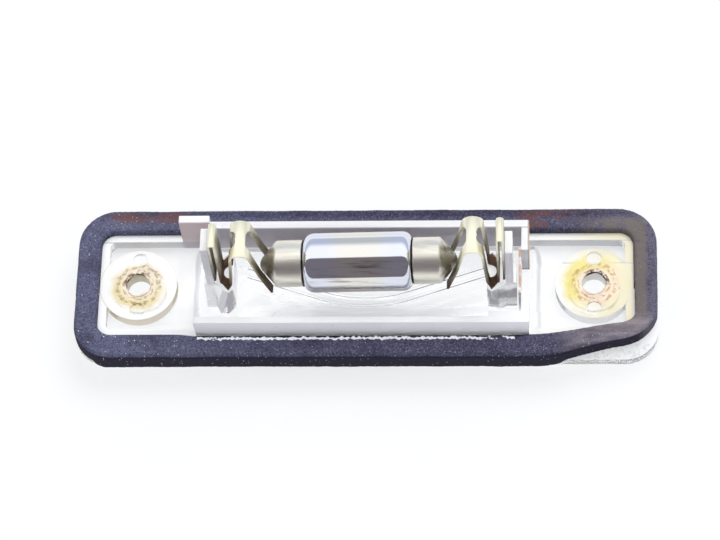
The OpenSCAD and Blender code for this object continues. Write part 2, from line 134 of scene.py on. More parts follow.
def copyOfNode(nodeName, pieceName):
    deselectAll()
    piece = bpy.data.objects.new(pieceName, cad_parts[nodeName].data.copy())
    piece.data.name = pieceName
    bpy.context.scene.collection.objects.link(piece)
    makeActive(piece)
    bpy.ops.mesh.customdata_custom_splitnormals_clear()
    startEdit(piece)
    bpy.ops.mesh.select_all(action="SELECT")
    bpy.ops.mesh.remove_doubles(threshold=0.000002)
    bpy.ops.mesh.dissolve_limited(angle_limit=math.radians(0.3))
    endEdit()
    return piece


def softEdges(piece, width, angle=35):
    addModifier(
        piece, "BEVEL", width=width, segments=2, limit_method="ANGLE",
        angle_limit=math.radians(angle), use_clamp_overlap=True, miter_outer="MITER_ARC",
    )


def smoothByAngle(piece, angle):
    makeActive(piece)
    bpy.ops.object.shade_smooth_by_angle(angle=math.radians(angle))


def turned(name, profile, sides, filled=False):
    # A ring drawn out along Z through the profile's (radius, height) pairs
    deselectAll()
    radius, height = profile[0]
    bpy.ops.mesh.primitive_circle_add(vertices=sides, radius=radius, location=(0, 0, height))
    piece = bpy.context.object
    piece.name = name
    bpy.ops.object.mode_set(mode="EDIT")
    bpy.ops.mesh.select_all(action="SELECT")
    if filled:
        bpy.ops.mesh.edge_face_add()
        bpy.ops.mesh.select_all(action="SELECT")
    for nextRadius, nextHeight in profile[1:]:
        bpy.ops.mesh.extrude_region_move(TRANSFORM_OT_translate={"value": (0, 0, nextHeight - height)})
        grow = nextRadius / radius
        bpy.ops.transform.resize(value=(grow, grow, 1))
        radius, height = nextRadius, nextHeight
    bpy.ops.mesh.select_all(action="SELECT")
    bpy.ops.mesh.remove_doubles(threshold=0.000002)
    bpy.ops.mesh.normals_make_consistent(inside=False)
    endEdit()
    return piece


def settle(piece, place):
    makeActive(piece)
    piece.matrix_world = place @ piece.matrix_world
    bpy.ops.object.transform_apply(location=True, rotation=True, scale=True)


def handOver(piece, slotName, finish, *standsFor):
    piece.data.materials.clear()
    piece.data.materials.append(finish)
    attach(piece, "root")
    if standsFor:
        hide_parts(*standsFor)


def dress(nodeName, finish):
    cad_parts[nodeName].data.materials[0] = finish


# Node maths as plain sums

class Wire:
    def __init__(self, bench, socket):
        self.bench = bench
        self.socket = socket

    def maths(self, operation, *others):
        return self.bench.node("Math", {"operation": operation}, dict(enumerate((self, *others))))

    def __add__(self, other):
        return self.maths("ADD", other)

    def __sub__(self, other):
        return self.maths("SUBTRACT", other)

    def __rsub__(self, other):
        return (self * -1) + other

    def __mul__(self, other):
        return self.maths("MULTIPLY", other)

    def __truediv__(self, other):
        return self.maths("DIVIDE", other)

    def __pow__(self, other):
        return self.maths("POWER", other)

    def __abs__(self):
        return self.maths("ABSOLUTE")

    __radd__ = __add__
    __rmul__ = __mul__

    def most(self, other):
        return self.maths("MAXIMUM", other)

    def least(self, other):
        return self.maths("MINIMUM", other)

    def rise(self, start, end):
        # 0 below start, 1 above end, smooth between them; it falls where end is below start
        low, high, first, last = (start, end, 0.0, 1.0) if start < end else (end, start, 1.0, 0.0)
        return self.bench.node(
            "MapRange", {"interpolation_type": "SMOOTHSTEP"},
            {"Value": self, "From Min": low, "From Max": high, "To Min": first, "To Max": last},
        )

    def near(self, at, reach):
        # 1 within reach of a value, 0 a little further off
        return abs(self - at).rise(reach * 1.5, reach)

    def sibling(self, name):
        # Another output of the same node
        return Wire(self.bench, self.socket.node.outputs[name])


class Bench:
    def __init__(self, tree):
        self.tree = tree
        tree.nodes.clear()

    def node(self, kind, settings=None, sockets=None, out=0):
        made = self.tree.nodes.new("ShaderNode" + kind)
        for key, value in (settings or {}).items():
            setattr(made, key, value)
        for key, value in (sockets or {}).items():
            socket = made.inputs[key]
            if isinstance(value, Wire):
                self.tree.links.new(value.socket, socket)
            elif socket.type == "RGBA" and len(value) == 3:
                socket.default_value = (*value, 1)
            else:
                socket.default_value = value
        return Wire(self, made.outputs[out]) if made.outputs else None

    def place(self):
        return self.node("TexCoord", out="Object")

    def axes(self):
        split = self.node("SeparateXYZ", {}, {0: self.place()})
        return tuple(split.sibling(name) for name in "XYZ")

    def clouds(self, size, detail=3.0, roughness=0.55, stretch=None):
        place = self.place()
        if stretch:
            place = self.node("Mapping", {}, {"Vector": place, "Scale": stretch})
        sockets = {"Vector": place, "Scale": 1 / size, "Detail": detail, "Roughness": roughness}
        return self.node("TexNoise", {}, sockets)

    def cells(self, size, out="Distance"):
        return self.node("TexVoronoi", {}, {"Vector": self.place(), "Scale": 1 / size}, out)

    def specks(self, size, share, spread):
        # Round specks in some of the cells of a grid of points
        near = self.cells(size).rise(spread * 1.3, spread * 0.7)
        colour = self.cells(size, out="Color")
        chosen = self.node("SeparateColor", {}, {0: colour}).rise(1 - share - 0.01, 1 - share + 0.01)
        return near * chosen

    def blend(self, mask, first, second):
        return self.node("Mix", {"data_type": "RGBA"}, {0: mask, 6: first, 7: second}, 2)

    def paint(self, colour, *coats):
        # Each coat is a mask and a tone, laid over what is there
        for mask, tone in coats:
            colour = self.blend(mask, colour, tone)
        return colour

    def bump(self, height, depth, strength=1.0):
        return self.node("Bump", {}, {"Height": height, "Distance": depth, "Strength": strength})

    def principled(self, **sockets):
        named = {key.replace("_", " "): value for key, value in sockets.items()}
        return self.node("BsdfPrincipled", {}, named)

    def end(self, shader, kind="OutputMaterial"):
        self.node(kind, {}, {"Surface": shader})


def startFinish(name):
    material = bpy.data.materials.new(name)
    material.use_nodes = True
    return material, Bench(material.node_tree)


def hexColour(text):
    values = [int(text[k:k + 2], 16) / 255 for k in (0, 2, 4)]
    return tuple(v / 12.92 if v <= 0.04045 else ((v + 0.055) / 1.055) ** 2.4 for v in values)


def holeDistance(b, centreX):
    x, y, z = b.axes()
    across = x - centreX
    return (across * across + y * y) ** 0.5


# Clear lens

lensLook = {
    "edge": 0.1 * mm,
    "clear": hexColour("fafbfc"),
    "milk": hexColour("fbfbfd"),
    "inShadow": hexColour("f0f2f4"),
    "agedLip": hexColour("e6dcb0"),
    "brownEdge": hexColour("b98660"),
    "grime": hexColour("a4a6ad"),
    "soot": hexColour("5b534c"),
    "cloudiness": 0.04,
    "standingMilk": 0.3,
    "mostMilk": 0.95,
    "roughness": 0.06,
    "faces": {  # the share of milky plastic, and the tone painted on the face where one is given: grey and mauve painted shade where a face lies in shade, and on the tab a pink that is partly painted foam seen through the plastic and partly rust
        "backFace": (0.7, hexColour("c3c5c9")),
        "behindBulb": (0.88, hexColour("b2acb6")),
        "tabFace": (0.88, hexColour("d0bec2")),
        "sideFace": (0.7, hexColour("c3c5c9")),
        "holder": (0.65, hexColour("d6d1db")),
        "frontFace": (0.85, hexColour("f3f4f8")),
        "opticFloor": (0.4, hexColour("d3d7de")),
        "tops": (0.72, None),
        "windowSide": (0.7, None),
        "trayEnds": (0.55, None),
    },
    "left": {
        "x": -tray["bossX"],
        "reach": 4.7 * mm,
        "halo": 5.2 * mm,
        "stainDepth": 0.5 * mm,
        "sideShare": 0.6,
        "towardsDark": (-0.5, 0.86),
        "towardsYellow": (-0.3, -0.95),
        "wash": hexColour("ecdcc2"),
        "yellow": hexColour("e2d196"),
        "tan": hexColour("ab9060"),
        "dark": hexColour("6b5228"),
        "bore": hexColour("dcd5bc"),
        "side": hexColour("e2d0a8"),
    },
    "right": {
        "x": tray["bossX"],
        "reach": 5 * mm,
        "halo": 5.7 * mm,
        "stainDepth": 0.2 * mm,
        "sideShare": 0.4,
        "towardsDark": (0.5, 0.86),
        "towardsYellow": (-0.8, 0.6),
        "wash": hexColour("eed8c2"),
        "yellow": hexColour("e6d870"),
        "tan": hexColour("c89a70"),
        "dark": hexColour("5c4630"),
        "bore": hexColour("f2f1ee"),
        "side": hexColour("e4e0e2"),
    },
}


def lensPlaces(b):
    # Where each face of the moulding lies
    x, y, z = b.axes()
    wide, deep = abs(x), abs(y)
    fromMiddle = abs(x - bulb["middle"].x)
    standing = z.rise(4.1 * mm, 4.6 * mm)
    pastTabEnd = x.rise(-34.3 * mm, -34.1 * mm)
    backFace = y.near(tray["wallBack"], 0.12 * mm) * z.rise(4 * mm, 4.3 * mm)
    flare = deep - (tray["pedestalTop"] - z) * 0.1
    pedestal = fromMiddle.near(25.3 * mm, 3.2 * mm) * standing * z.rise(11.15 * mm, 11.05 * mm)
    pedestal = pedestal * flare.rise(3.1 * mm, 3.4 * mm) * deep.rise(5.6 * mm, 5.3 * mm)
    postFront = fromMiddle.near(27.25 * mm, 1.5 * mm) * y.near(-2.25 * mm, 0.1 * mm) * z.rise(10.9 * mm, 11.3 * mm)
    tops = z.rise(22.7 * mm, 22.8 * mm)
    for top in ("wallTop", "tabTop", "lipTop"):
        tops = tops.most(z.near(tray[top], 0.1 * mm))
    outerEdge = z.rise(11.3 * mm, 11.5 * mm).most(y.near(4.2 * mm, 0.25 * mm))
    return {
        "standing": standing,
        "backFace": backFace,
        "behindBulb": backFace * pastTabEnd * x.rise(28.9 * mm, 28.6 * mm),
        "tabFace": backFace * pastTabEnd * x.rise(-28.3 * mm, -28.6 * mm) * z.rise(6.3 * mm, 7 * mm),
        "sideFace": y.near(4.2 * mm, 0.1 * mm) * x.rise(28.5 * mm, 28.8 * mm) * standing,
        "holder": postFront.most(pedestal),
        "frontFace": y.near(tray["wallFront"], 0.12 * mm) * z.rise(6.4 * mm, 6.6 * mm),
        "opticFloor": (
            z.near(4 * mm, 0.35 * mm) * wide.rise(27 * mm, 12 * mm)
            * y.rise(1 * mm, -5 * mm) * y.rise(-9.1 * mm, -8.9 * mm)
        ),
        "tops": tops,
        "windowSide": (
            z.rise(1.95 * mm, 1.85 * mm) * wide.rise(30.9 * mm, 31.2 * mm).most(deep.rise(9.5 * mm, 9.8 * mm))
        ),
        "trayEnds": z.near(tray["floor"], 0.08 * mm) * wide.rise(30.7 * mm, 31 * mm),
        "rightLip": (
            z.near(tray["lipTop"], 0.3 * mm) * x.rise(30 * mm, 31 * mm) * (x.rise(33 * mm, 47 * mm) * 0.8 + 0.15)
        ),
        "web": x.near(28.4 * mm, 0.25 * mm) * deep.rise(4.9 * mm, 4.75 * mm) * z.rise(11.2 * mm, 11.4 * mm),
        "outerEdge": x.near(30.1 * mm, 0.2 * mm) * y.rise(3.9 * mm, 4.1 * mm) * outerEdge,
        "bareCorner": x.rise(35 * mm, 39 * mm) * y.rise(-10.6 * mm, -11.4 * mm),
    }


def bossStain(b, side, share, colour):
    # Rings of old sealant and rust on a boss; the share of milky plastic and its colour go in and come out
    s = lensLook[side]
    x, y, z = b.axes()
    plain = holeDistance(b, s["x"])
    ring = plain + (b.clouds(1.9 * mm, 4.0) - 0.5) * (1.9 * mm)
    fine = b.clouds(0.8 * mm, 4.0)
    stainEnd = tray["bossTop"] - s["stainDepth"]
    onTop = z.rise(stainEnd - 0.08 * mm, stainEnd)

    def towards(direction):
        return ((x - s["x"]) * direction[0] + y * direction[1]) / plain

    halo = ring.rise(s["halo"] + 1 * mm, s["halo"] - 1 * mm) * ring.rise(2.7 * mm, 3.5 * mm) * onTop
    rings = ring.near(3.85 * mm, 0.3 * mm).most(ring.near(2.8 * mm, 0.15 * mm))
    rust = plain.near(2.45 * mm, 0.3 * mm) * towards(s["towardsDark"]).rise(0.2, 0.75)
    aboveFloor = z.rise(tray["floor"] + 0.05 * mm, tray["floor"] + 0.2 * mm)
    belowTop = z.rise(tray["bossTop"] - 0.03 * mm, tray["bossTop"] - 0.13 * mm)
    for tone, mask, milk in (
        ("wash", ring.rise(s["reach"] + 0.5 * mm, s["reach"] - 0.7 * mm) * onTop * 0.9, 0.889),
        ("yellow", halo * (towards(s["towardsYellow"]).rise(-0.6, 0.5) * 0.8 + 0.2), 0.85),
        ("tan", rings * fine.rise(0.4, 0.62) * onTop, 0.9),
        ("dark", rust * fine.rise(0.4, 0.52) * onTop, 1),
        ("bore", plain.rise(tray["holeRadius"] + 0.1 * mm, tray["holeRadius"] + 0.02 * mm), 0.75),
        ("side", plain.near(tray["bossRadius"], 0.12 * mm) * aboveFloor * belowTop, s["sideShare"]),
    ):
        colour = b.blend(mask, colour, s[tone])
        share = share.most(mask * milk)
    return share, colour


def lensFinish():
    # Clear plastic that turns milky where the light catches it, with painted shade in grey and mauve on faces that
    # lie in shade, stains, brown edges and soot
    s = lensLook
    material, b = startFinish("lensPlastic")
    x, y, z = b.axes()
    places = lensPlaces(b)
    scuff = b.clouds(0.8 * mm, 4.0, 0.7).rise(0.5, 0.8)
    colour = b.blend(places["rightLip"], s["milk"], s["agedLip"])
    share = places["standing"] * s["standingMilk"] + scuff * 0.05 + s["cloudiness"]
    # each face's tone from lensLook is laid on here as its painted shade, with some rust in the tab's pink
    for place, (milk, tone) in s["faces"].items():
        share = share.most(places[place] * milk)
        if tone:
            colour = b.blend(places[place], colour, tone)
    for side in ("left", "right"):
        share, colour = bossStain(b, side, share, colour)
    brown = (places["web"] * b.clouds(1.5 * mm, 3.0).rise(0.3, 0.55)).most(places["outerEdge"]) * places["standing"]
    grime = places["bareCorner"] * b.clouds(0.7 * mm, 4.0, 0.7).rise(0.48, 0.66) * 0.5
    grit = b.specks(2.6 * mm, 0.16, 0.05).most(b.specks(1.3 * mm, 0.12, 0.06) * places["frontFace"])
    soot = b.specks(2.9 * mm, 0.2, 0.06) * b.clouds(9 * mm).rise(0.45, 0.55) * (x.rise(20 * mm, 36 * mm) * 0.8 + 0.2)
    colour = b.paint(colour, (brown * 0.9, s["brownEdge"]), (grime.most(grit), s["grime"]), (soot, s["soot"]))
    share = share.most(brown * 0.85).most(grime).most(grit * 0.7).most(soot * 0.9)
    ripple = b.bump(b.clouds(5 * mm, 2.0), 0.05 * mm, 0.5)
    clear = b.principled(
        Base_Color=s["clear"], Roughness=scuff * 0.1 + s["roughness"], IOR=1.49,
        Transmission_Weight=1.0, Normal=ripple,
    )
    milky = b.principled(Base_Color=colour, Roughness=0.5, Normal=ripple)
    solid = b.node("MixShader", {}, {0: share.least(s["mostMilk"]), 1: clear, 2: milky})
    thin = b.node("BsdfTransparent", {}, {"Color": s["inShadow"]})
    shadow = b.node("LightPath", out="Is Shadow Ray")
    b.end(b.node("MixShader", {}, {0: shadow, 1: solid, 2: thin}))
    return material


def makeLens():
    piece = copyOfNode("lens", "clearLens")
    softEdges(piece, lensLook["edge"])
    smoothByAngle(piece, 25)
    handOver(piece, "lens_plastic", lensFinish(), "lens")


# Foam gasket

gasketLook = {
    "voxel": 0.24 * mm,
    "smoothing": 3,
    "lumps": 0.22 * mm,
    "lumpSize": 6 * mm,
    "grain": 0.1 * mm,
    "grainSize": 0.7 * mm,
    "fill": 0.9,
    "seat": 0.06 * mm,  # how far the foam stands off the lip
    "hugBelow": 7.2 * mm,
    "hugReach": 0.8 * mm,
    "slipFrom": 30 * mm,
    "frontPull": 0.35 * mm,  # how far the inner top edge stands off the front wall
    "pullAbove": 5.2 * mm,
    "pullEnd": 34 * mm,
    "pullOuter": -12.6 * mm,
    "pullInner": -10 * mm,
    "droop": 1.15 * mm,  # how far the foam hangs over the flange's front edge
    "droopBelow": 5.6 * mm,
    "droopFrom": -14.35 * mm,
    "foam": hexColour("49485f"),
    "foamLeft": hexColour("5d5f79"),
    "foamRight": hexColour("625e70"),
    "foamDark": hexColour("1f1b2e"),
    "foamPale": hexColour("8a8ba4"),
    # the painted shadow in the gap between the foam's inner top edge and the front wall
    "gapShadow": hexColour("0e0c12"),
    "rust": hexColour("6e4c48"),
    "soil": hexColour("736b65"),
    "scuff": hexColour("968d94"),
    "dust": hexColour("e2e4ec"),
}


def gasketFinish():
    s = gasketLook
    material, b = startFinish("gasketFoam")
    x, y, z = b.axes()
    patches = b.clouds(6 * mm, 4.0)
    grain = b.clouds(0.3 * mm, 3.0, 0.7)
    speckle = b.node("SeparateColor", {}, {0: b.cells(0.2 * mm, out="Color")}) * 0.5 + grain * 0.5
    streaks = b.clouds(1.4 * mm, 4.0, 0.6, stretch=(0.25, 1, 1))
    fromLip = (abs(x) - tray["lipOuterX"]).most(abs(y) - tray["lipOuterY"])
    atBack = y.rise(10.6 * mm, 11.4 * mm)
    backLeft = x.rise(-50 * mm, -45 * mm) * x.rise(-31 * mm, -36 * mm)
    backRight = x.rise(26 * mm, 31 * mm) * x.rise(44 * mm, 37 * mm)
    onCrease = abs(fromLip - 3.1 * mm).rise(1.7 * mm, 0.3 * mm)
    rusty = atBack * backLeft.most(backRight) * onCrease
    rustSpot = x.near(31.6 * mm, 1.5 * mm) * y.near(11.6 * mm, 0.8 * mm)
    ragged = fromLip + (b.clouds(2.5 * mm, 4.0) - 0.5) * (1.6 * mm)
    soiled = x.rise(36 * mm, 46 * mm) * ragged.rise(2.9 * mm, 1.9 * mm) * y.rise(-12 * mm, -8 * mm)
    scuffed = x.rise(34 * mm, 40 * mm) * y.rise(-6 * mm, -9 * mm) * z.rise(6.8 * mm, 7.3 * mm)
    alongWall = x.rise(-31.3 * mm, -30.8 * mm) * x.rise(30 * mm, 28 * mm) * y.rise(-10 * mm, -10.3 * mm)
    shadowLineEdge = y + (b.clouds(0.9 * mm, 3.0, stretch=(1, 0.1, 1)) - 0.5) * (0.35 * mm)
    dusty = x.rise(-15 * mm, -52 * mm) * 0.5 + y.rise(-9 * mm, -12 * mm) * 0.35 + 0.2
    dust = b.specks(0.42 * mm, 0.1, 0.2) + b.specks(0.95 * mm, 0.12, 0.11)
    colour = b.paint(
        s["foam"],
        (x.rise(10 * mm, -52 * mm), s["foamLeft"]),
        (x.rise(38 * mm, 48 * mm), s["foamRight"]),
        (speckle.rise(0.5, 0.2) * 0.6, s["foamDark"]),
        (speckle.rise(0.55, 0.85) * 0.55, s["foamPale"]),
        (patches.rise(0.45, 0.7) * 0.4, s["foamDark"]),
        (atBack * fromLip.rise(3 * mm, 2.2 * mm) * 0.08, s["foamPale"]),
        (atBack * fromLip.rise(2.8 * mm, 3.5 * mm) * 0.3, s["foamDark"]),
        (rusty.most(rustSpot) * streaks.rise(0.34, 0.58) * 0.8, s["rust"]),
        (soiled * b.clouds(3 * mm).rise(0.25, 0.5) * 0.8, s["soil"]),
        (scuffed * (streaks.rise(0.35, 0.65) * 0.6 + 0.2), s["scuff"]),
        # painted shade: the foam's sides are darkened below its top, strongly along the front side, which is turned
        # from the light
        (z.rise(7.35 * mm, 6.9 * mm) * (y.rise(-9 * mm, -11 * mm) * 0.75 + 0.2), s["foamDark"]),
        # painted shadow: a black band, ragged along its edge, where the foam's inner top edge stands off the front
        # wall
        (alongWall * shadowLineEdge.rise(-11.34 * mm, -11.24 * mm), s["gapShadow"]),
        ((dust * dusty).least(0.9), s["dust"]),
    )
    pores = b.cells(0.3 * mm) * 0.6 + grain * 0.6 + patches * 0.2
    b.end(b.principled(
        Base_Color=colour, Roughness=0.86, Specular_IOR_Level=0.25, Normal=b.bump(pores, 0.12 * mm, 0.9),
    ))
    return material


def makeGasket():
    s = gasketLook
    piece = copyOfNode("gasket", "gasketFoam")
    addModifier(piece, "REMESH", mode="VOXEL", voxel_size=s["voxel"])
    addModifier(piece, "SMOOTH", factor=0.5, iterations=s["smoothing"])
    for name, size, depth in (("lumps", s["lumpSize"], s["lumps"]), ("grain", s["grainSize"], s["grain"])):
        addModifier(
            piece, "DISPLACE", texture=cloudTexture(name, size), strength=depth, mid_level=1.0,
            texture_coords="LOCAL",
        )
    for vert in piece.data.vertices:
        hugLip(vert)
        pullFrontEdge(vert)
        droopFront(vert)
    smoothByAngle(piece, 60)
    handOver(piece, "gasket_foam", gasketFinish(), "gasket")
    return piece


def hugLip(vert):
    # The side that faces the lip lies flat against it, apart from the slipped corner
    s = gasketLook
    x, y, z = vert.co
    if z > s["hugBelow"] or (x > s["slipFrom"] and y < 0):
        return
    cornerX = max(0, abs(x) - tray["lipOuterX"] + tray["lipRadius"])
    cornerY = max(0, abs(y) - tray["lipOuterY"] + tray["lipRadius"])
    away = math.hypot(cornerX, cornerY) - tray["lipRadius"]
    facing = vert.normal.x * math.copysign(cornerX, x) + vert.normal.y * math.copysign(cornerY, y)
    if away < s["hugReach"] and facing < 0 and cornerX + cornerY > 0:
        outward = Vector((math.copysign(cornerX, x), math.copysign(cornerY, y), 0)).normalized()
        vert.co += outward * (s["seat"] - away)


def pullFrontEdge(vert):
    # Along the front wall the inner top edge stands away from it and leaves a gap, whose shadow gasketFinish paints
    # black
    s = gasketLook
    x, y, z = vert.co
    if s["pullOuter"] < y < s["pullInner"] and z > s["pullAbove"] and x < s["pullEnd"]:
        ends = min(1, max(0, (x + s["pullEnd"]) / (3 * mm)), max(0, (33 * mm - x) / (6 * mm)))
        height = min(1, (z - s["pullAbove"]) / (1.8 * mm))
        share = (y - s["pullOuter"]) / (2.2 * mm)
        uneven = 1 + 0.25 * noise.noise((x * 500, 0, 0))
        vert.co.y -= s["frontPull"] * ends * height * share * uneven


def droopFront(vert):
    # Past the flange's front edge the foam hangs down over it
    s = gasketLook
    x, y, z = vert.co
    if y < s["droopFrom"] and z < s["droopBelow"]:
        outward = min(1, (s["droopFrom"] - y) / (0.3 * mm))
        vert.co.z -= s["droop"] * outward * min(1, (s["droopBelow"] - z) / (1.5 * mm))


# White torn skin in patches along the gasket's inner front edge

frayLook = {
    "from": -30.4 * mm,
    "to": 27.5 * mm,
    "middle": -11.6 * mm,
    "width": 0.62 * mm,
    "thickness": 0.07 * mm,
    "columns": 420,
    "rows": 6,
    "keptBelow": 0.55,  # a lower value tears more of it off
    "white": hexColour("fbfbfd"),
    "shaded": hexColour("dfe0e8"),
}


def frayFinish():
    material, b = startFinish("tornSkin")
    shade = b.clouds(0.4 * mm)
    colour = b.blend(shade.rise(0.3, 0.7), frayLook["white"], frayLook["shaded"])
    b.end(b.principled(Base_Color=colour, Roughness=0.7, Normal=b.bump(shade, 0.05 * mm, 0.5)))
    return material


def makeFrays(gasket):
    s = frayLook
    deselectAll()
    bpy.ops.mesh.primitive_grid_add(x_subdivisions=s["columns"], y_subdivisions=s["rows"], size=1)
    piece = bpy.context.object
    piece.name = "tornSkin"
    piece.scale = (s["to"] - s["from"], s["width"], 1)
    piece.location = ((s["to"] + s["from"]) / 2, s["middle"], tray["gasketTop"] + 1 * mm)
    bpy.ops.object.transform_apply(location=True, rotation=True, scale=True)
    for vert in piece.data.vertices:
        x, y, z = vert.co
        side = (y - s["middle"]) / (s["width"] / 2)
        ragged = noise.noise((x * 1900, side * 0.8, 3)) + 0.6 * noise.noise((x * 700, side, 9))
        wander = 0.12 * mm * noise.noise((x * 250, 0, 5))
        vert.co.y = s["middle"] + side * s["width"] / 2 * (0.7 + 1.3 * ragged) + wander
    startEdit(piece, "FACE")
    shape = bmesh.from_edit_mesh(piece.data)
    for face in shape.faces:
        middle = face.calc_center_median()
        worn = noise.noise((middle.x * 520, middle.y * 1500, 7))
        worn += 0.4 * noise.noise((middle.x * 2500, middle.y * 2500, 1))
        fading = max(0, (middle.x - 4 * mm) / (20 * mm)) * 0.55
        face.select = worn > s["keptBelow"] - fading
    bmesh.update_edit_mesh(piece.data)
    bpy.ops.mesh.delete(type="FACE")
    endEdit()
    addModifier(
        piece, "SHRINKWRAP", target=gasket, wrap_method="PROJECT", use_negative_direction=True,
        use_positive_direction=False, use_project_z=True, offset=0.03 * mm, wrap_mode="ABOVE_SURFACE",
    )
    addModifier(piece, "SOLIDIFY", thickness=s["thickness"], offset=1.0)
    handOver(piece, "gasket_foam", frayFinish())


# Contact clips

clipLook = {
    "edge": 0.05 * mm,
    "roughness": 0.3,
    "brass": hexColour("f7f3dc"),
    "olive": hexColour("746950"),
    "rust": hexColour("5a3a26"),
    "darkRust": hexColour("2c1a12"),
}


def clipFinish(name):
    # Bright at the top, tarnished below and rusty in the trough
    s = clipLook
    material, b = startFinish(name)
    x, y, z = b.axes()
    blotch = b.clouds(1.6 * mm, 4.0)
    fine = b.clouds(0.35 * mm, 3.0)
    drag = b.clouds(0.5 * mm, 3.0, 0.6, stretch=(1, 0.08, 1))
    tarnish = (z + (blotch - 0.5) * (5 * mm)).rise(24.6 * mm, 17.5 * mm) * 0.9
    low = (z + (blotch - 0.5) * (4.5 * mm)).rise(17 * mm, 12.6 * mm)
    rust = (low + blotch.rise(0.62, 0.78) * tarnish * 0.5).least(1.0)
    colour = b.paint(
        s["brass"], (tarnish, s["olive"]), (rust * 0.85, s["rust"]),
        (rust * fine.rise(0.5, 0.65) * 0.7, s["darkRust"]),
    )
    rough = tarnish * 0.05 + rust * 0.3 + drag * 0.12 + s["roughness"]
    height = drag * 0.4 + blotch * 0.4 + rust * fine * 0.8
    b.end(b.principled(
        Base_Color=colour, Metallic=1 - rust * 0.7, Roughness=rough, Normal=b.bump(height, 0.05 * mm, 0.5),
    ))
    return material


def makeClips():
    for side in ("left", "right"):
        piece = copyOfNode("clip_" + side, "contactClip_" + side)
        softEdges(piece, clipLook["edge"], 50)
        smoothByAngle(piece, 30)
        handOver(piece, "clip_metal", clipFinish("clipBrass_" + side), "clip_" + side)


# Bulb: caps, glass and what is inside

capLook = {
    "sides": 96,
    "profile": [  # radius and distance from the bulb's middle, in mm
        (3.98, 10.12), (4.1, 10.02), (4.2, 10.01), (4.26, 10.1), (4.24, 10.24), (4.21, 10.36),
        (4.25, 10.5), (4.25, 12.5), (4.25, 14.55), (4.22, 14.78), (4.12, 14.98), (3.9, 15.22),
        (1.34, 17.5), (1.2, 17.62), (1.05, 17.65), (0.28, 17.65), (0.28, 17.36), (1.0, 17.36),
        (3.66, 15.02), (3.92, 14.7), (3.95, 12.5), (3.95, 10.4), (3.98, 10.14),
    ],
    "roughness": 0.31,
    "silver": hexColour("f3f0e6"),
    "dull": hexColour("b5ae9c"),
    # dark blotches on the cone, and the painted shade of the seam at the rim
    "dark": hexColour("33291f"),
}

glassLook = {
    "sides": 128,
    "outer": [  # radius and distance from the bulb's middle, in mm
        (0.3, 13), (3.3, 13), (3.4, 12.9), (3.4, 10.16), (3.52, 10.0), (3.8, 9.97), (4.15, 9.87), (4.5, 9.7),
        (4.85, 9.4), (5.12, 9.05), (5.3, 8.65), (5.39, 8.2), (5.4, 7.8), (5.4, 4), (5.4, 0),
    ],
    "innerEnd": [(0.3, 9.45), (2.6, 9.45), (3.45, 9.4)],
    "wall": 0.55,
    "metal": 0.92,
    "roughness": 0.06,
    "film": hexColour("e6eaf7"),
    "filmWarm": hexColour("ecebe6"),
    # darker film in streaks, and the painted reflection of the dark foam on the lower half
    "darkFilmAndReflection": hexColour("9c8e8c"),
}


def fromBulb(b):
    # How far a point lies from the bulb's middle, along X, along the bulb and up
    x, y, z = b.axes()
    across, up = x - bulb["middle"].x, z - bulb["middle"].z
    return abs(across), abs(across * math.cos(bulb["tilt"]) + up * math.sin(bulb["tilt"])), up


def capFinish():
    s = capLook
    material, b = startFinish("capMetal")
    across, along, up = fromBulb(b)
    blotch = b.clouds(1.8 * mm, 4.0)
    streak = b.clouds(0.6 * mm, 3.0, 0.6, stretch=(0.15, 1, 1))
    # painted shade: the rim where the cap meets the glass is darkened, made duller and less metallic, for the shadow
    # in the seam
    rim = (along + (blotch - 0.5) * (0.5 * mm)).rise(10.25 * mm, 10.05 * mm)
    cone = (along + (blotch - 0.5) * (3 * mm)).rise(14.6 * mm, 16.4 * mm)
    burntAndSeamShade = (rim + cone * blotch.rise(0.5, 0.7) * 0.6).least(1.0)
    colour = b.paint(
        s["silver"], (streak.rise(0.4, 0.8) * 0.4, s["dull"]), (cone * 0.6, s["dull"]), (burntAndSeamShade * 0.9, s["dark"]),
    )
    rough = streak * 0.16 + rim * 0.25 + cone * 0.1 + s["roughness"]
    b.end(b.principled(
        Base_Color=colour, Metallic=1 - rim * 0.6, Roughness=rough,
        Normal=b.bump(streak * 0.6 + blotch * 0.6, 0.04 * mm, 0.4),
    ))
    return material


def makeCaps():
    s = capLook
    finish = capFinish()
    for side, turn in (("left", Matrix.Rotation(math.pi, 4, "Y")), ("right", Matrix.Identity(4))):
        piece = turned("bulbCap_" + side, [(r * mm, h * mm) for r, h in s["profile"]], s["sides"])
        settle(piece, bulbPlace @ turn)
        smoothByAngle(piece, 40)
        handOver(piece, "cap_metal", finish, "cap_" + side)


def glassFinish():
    # A mirror of burnt metal lies on the glass, warmer in the middle and thinner in streaks; its lower half is
    # painted dark as the reflection of the dark foam below it
    s = glassLook
    material, b = startFinish("smokedGlass")
    x, y, z = b.axes()
    across, along, up = fromBulb(b)
    streaks = b.clouds(0.7 * mm, 3.0, 0.6, stretch=(0.09, 1, 1))
    fine = b.clouds(0.35 * mm, 2.0, 0.5, stretch=(0.07, 1, 1))
    warm = (across + (b.clouds(5 * mm, 2.0) - 0.5) * (4 * mm)).rise(7 * mm, 2 * mm)
    front = y.rise(-1.8 * mm, -3 * mm)
    colour = b.paint(
        b.blend(warm, s["film"], s["filmWarm"]),
        (front * streaks.rise(0.45, 0.7) * (warm * 0.5 + 0.3), s["darkFilmAndReflection"]),
        # painted reflection: the lower half is darkened for the dark foam it reflects
        (up.rise(0.4 * mm, -1.2 * mm) * 0.95, s["darkFilmAndReflection"]),
    )
    thin = front * y.rise(-5.1 * mm, -4.6 * mm) * across.rise(7.9 * mm, 7.2 * mm) * fine.rise(0.5, 0.75)
    b.end(b.principled(
        Base_Color=colour, Metallic=s["metal"] - thin * 0.4, Roughness=s["roughness"], IOR=1.5,
        Transmission_Weight=1.0, Normal=b.bump(b.clouds(6 * mm, 1.0), 0.08 * mm, 0.4),
    ))
    return material


